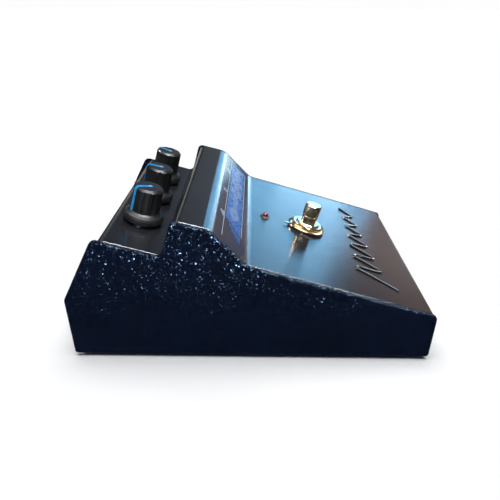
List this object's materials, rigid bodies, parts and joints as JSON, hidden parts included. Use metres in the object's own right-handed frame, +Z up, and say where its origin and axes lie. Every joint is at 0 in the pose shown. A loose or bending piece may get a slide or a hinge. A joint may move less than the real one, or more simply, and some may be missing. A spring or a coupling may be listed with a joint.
{
  "type": "guitar effects pedal",
  "caption": "Wedge-shaped guitar effects pedal with a raised knob deck, a printed slope, a stomp switch, a status light and rear sockets.",
  "frame": {"origin": "centre of the underside, on the surface that the pedal stands on", "axes": "+X the player's right, +Y the rear (the knob side), +Z up"},
  "size_m": [0.118, 0.1583, 0.0689],
  "materials": {
    "cover_paint": "smooth satin black with a blue cast",
    "side_paint": "pebbled navy-black powder coat",
    "base_steel": "plain satin black",
    "rubber": "matt black",
    "knob_plastic": "satin black",
    "pointer_blue": "bright blue",
    "nickel": "bright nickel",
    "zinc": "zinc plated",
    "brass": "tinned brass",
    "black_plastic": "moulded black",
    "blue_plastic": "moulded blue",
    "led_red": "dark red lens",
    "board_green": "green solder mask",
    "header_white": "natural nylon",
    "can_sleeve": "dark blue sleeve",
    "film_red": "dipped red",
    "resistor_tan": "tan lacquer",
    "battery_wrap": "printed steel can",
    "foam": "grey foam",
    "wire": "insulated wire",
    "emblem_metal": "gloss dark blue-black"
  },
  "bodies": {
    "casing": {"top_cover": "cover_paint", "left_side_panel": "side_paint", "right_side_panel": "side_paint", "base_plate": "base_steel", "base_screws": "zinc", "rubber_mat": "rubber", "emblem": "emblem_metal", "control_board": "board_green", "main_board": "board_green", "board_standoffs": "brass", "board_screws": "zinc", "wire_headers": "header_white", "chips": "black_plastic", "can_capacitors": "can_sleeve", "film_capacitors": "film_red", "resistors": "resistor_tan", "battery": "battery_wrap", "battery_snap": "black_plastic", "battery_clip": "zinc", "battery_pads": "foam", "battery_leads": "wire", "switch_wires": "wire", "led_wires": "wire", "rear_wires": "wire", "control_wires": "wire", "led_lens": "led_red", "led_bezel": "black_plastic", "switch_bushing": "nickel", "switch_housing": "blue_plastic", "switch_spring": "zinc", "switch_washer": "nickel", "switch_nut": "nickel", "switch_lock_nut": "nickel", "switch_lugs": "brass", "power_body": "black_plastic", "power_pin": "nickel", "power_nut": "nickel", "pot_washers": "zinc", "pot_nuts": "zinc", "pot_terminals": "brass", "jack_washers": "zinc", "jack_nuts": "nickel", "jack_contacts": "brass", "input_jack_body": "black_plastic", "output_jack_body": "black_plastic", "input_jack_ferrule": "nickel", "output_jack_ferrule": "nickel", "pot_housing_left": "zinc", "pot_housing_middle": "zinc", "pot_housing_right": "zinc"},
    "knob_left": {"knob_left": "knob_plastic", "pointer_left": "pointer_blue", "pot_shaft_left": "zinc"},
    "knob_middle": {"knob_middle": "knob_plastic", "pointer_middle": "pointer_blue", "pot_shaft_middle": "zinc"},
    "knob_right": {"knob_right": "knob_plastic", "pointer_right": "pointer_blue", "pot_shaft_right": "zinc"},
    "switch_button": {"switch_plunger": "nickel"}
  },
  "joints": [
    {"name": "knob_left_turn", "type": "hinge", "parent": "casing", "child": "knob_left", "pos_m": [-0.029, 0.0488, 0.05135], "axis": [0, -0.2622, 0.965], "range_deg": [-188, 112]},
    {"name": "knob_middle_turn", "type": "hinge", "parent": "casing", "child": "knob_middle", "pos_m": [0, 0.0488, 0.05135], "axis": [0, -0.2622, 0.965], "range_deg": [-158, 142]},
    {"name": "knob_right_turn", "type": "hinge", "parent": "casing", "child": "knob_right", "pos_m": [0.029, 0.0488, 0.05135], "axis": [0, -0.2622, 0.965], "range_deg": [-132, 168]},
    {"name": "switch_press", "type": "slide", "parent": "casing", "child": "switch_button", "axis": [0, 0.2756, -0.9613], "range_m": [0, 0.0026], "stiffness_N_per_m": 1500, "springref_m": -0.008, "deforming": ["switch_spring"]}
  ]
}
